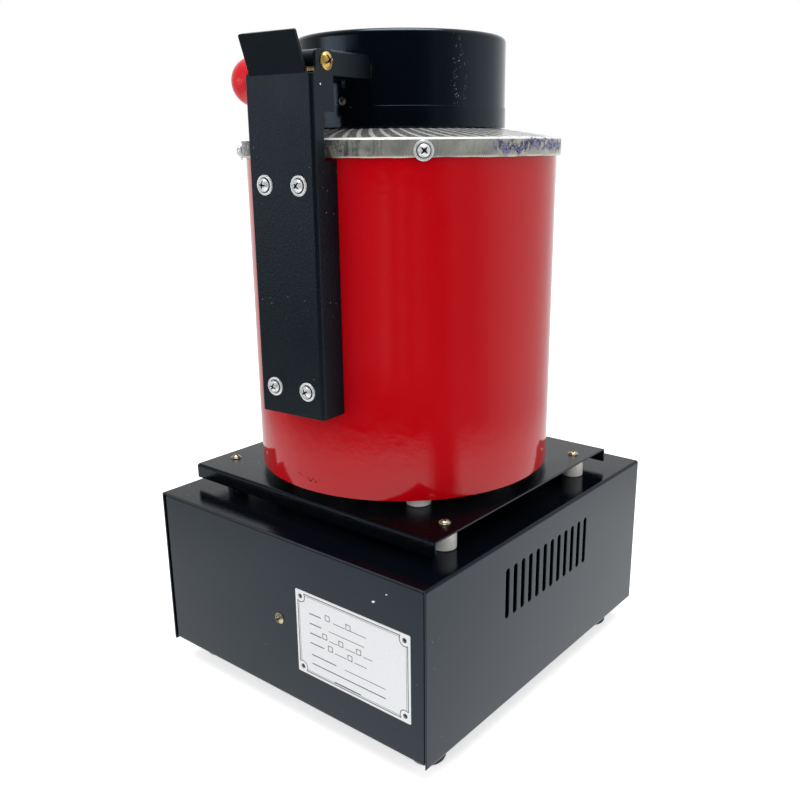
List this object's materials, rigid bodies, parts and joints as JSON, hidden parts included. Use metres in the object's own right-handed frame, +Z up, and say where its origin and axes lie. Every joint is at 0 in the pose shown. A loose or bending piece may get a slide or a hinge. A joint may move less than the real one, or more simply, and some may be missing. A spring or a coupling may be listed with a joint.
{
  "type": "electric metal melting furnace",
  "caption": "Small electric furnace for melting gold: vented box base, round insulated barrel with a crucible well, and a lid with a side handle on a rear hinge.",
  "frame": {"origin": "on the floor, under the middle of the whole footprint", "axes": "+Z up; front with the controller and switch faces -Y; the lid hinge is at +Y and the handle points to +X"},
  "size_m": [0.293, 0.2976, 0.4719],
  "materials": {
    "black_powder": "satin",
    "black_lid": "satin",
    "red_enamel": "gloss",
    "barrel_steel": "satin",
    "ring_steel": "satin",
    "zinc": "satin",
    "brass": "satin",
    "ceramic": "satin",
    "refractory": "matte",
    "fibre": "matte",
    "heater_wire": "matte",
    "graphite": "matte",
    "rubber": "matte",
    "red_ball": "gloss",
    "plate_metal": "satin",
    "black_plastic": "matte",
    "window": "gloss",
    "key_plastic": "matte",
    "red_rocker": "gloss",
    "relay_plastic": "satin",
    "block_plastic": "matte",
    "heatsink": "satin",
    "wire_jacket": "matte"
  },
  "bodies": {
    "furnace": {"barrel_bolts": "zinc", "barrel_floor": "barrel_steel", "barrel_nuts": "zinc", "barrel_shell": "red_enamel", "barrel_spacers": "ceramic", "base_chassis": "black_powder", "base_cover": "black_powder", "base_wiring": "wire_jacket", "bracket_nuts": "zinc", "bracket_screws": "zinc", "controller_case": "black_plastic", "controller_clamp": "black_plastic", "controller_window": "window", "crucible": "graphite", "crucible_stand": "refractory", "deck_nuts": "zinc", "deck_plate": "black_powder", "deck_screws": "brass", "deck_spacers": "ceramic", "earth_nut": "brass", "earth_screw": "brass", "feet": "rubber", "foot_nuts": "zinc", "foot_screws": "zinc", "heater_leads": "heater_wire", "heater_tube": "refractory", "heating_coil": "heater_wire", "hinge_bracket": "black_powder", "hinge_pin": "brass", "hinge_screws": "brass", "inlet_pins": "brass", "inlet_screws": "zinc", "insulation_blanket": "fibre", "insulation_floor": "fibre", "lead_bushings": "ceramic", "mains_inlet": "black_plastic", "nameplate": "plate_metal", "power_fixings": "zinc", "relay_heatsink": "heatsink", "ring_screws": "zinc", "solid_state_relay": "relay_plastic", "switch_housing": "black_plastic", "terminal_block": "block_plastic", "thermocouple": "heater_wire", "top_ring": "ring_steel"},
    "lid": {"lid_shell": "black_lid", "lid_band": "black_lid", "lid_insulation": "fibre", "lid_screws": "zinc", "lid_arm": "black_lid", "arm_screws": "zinc", "lid_nuts": "zinc", "handle_rod": "zinc", "handle_knob": "red_ball"},
    "rocker": {"switch_rocker": "red_rocker"},
    "key_set_button": {"key_set": "key_plastic"},
    "key_left_button": {"key_left": "key_plastic"},
    "key_down_button": {"key_down": "key_plastic"},
    "key_up_button": {"key_up": "key_plastic"}
  },
  "joints": [
    {"name": "lid_hinge", "type": "hinge", "parent": "furnace", "child": "lid", "pos_m": [-0.0231, 0.12071, 0.4492], "axis": [-0.9966, -0.0828, 0], "range_deg": [0, 122]},
    {"name": "power_rocker", "type": "hinge", "parent": "furnace", "child": "rocker", "pos_m": [0.04454, -0.14229, 0.084], "axis": [1, 0, 0], "range_deg": [0, 20]},
    {"name": "key_set_press", "type": "slide", "parent": "furnace", "child": "key_set_button", "axis": [0, 1, 0], "range_m": [0, 0.0007], "stiffness_N_per_m": 400},
    {"name": "key_left_press", "type": "slide", "parent": "furnace", "child": "key_left_button", "axis": [0, 1, 0], "range_m": [0, 0.0007], "stiffness_N_per_m": 400},
    {"name": "key_down_press", "type": "slide", "parent": "furnace", "child": "key_down_button", "axis": [0, 1, 0], "range_m": [0, 0.0007], "stiffness_N_per_m": 400},
    {"name": "key_up_press", "type": "slide", "parent": "furnace", "child": "key_up_button", "axis": [0, 1, 0], "range_m": [0, 0.0007], "stiffness_N_per_m": 400}
  ]
}
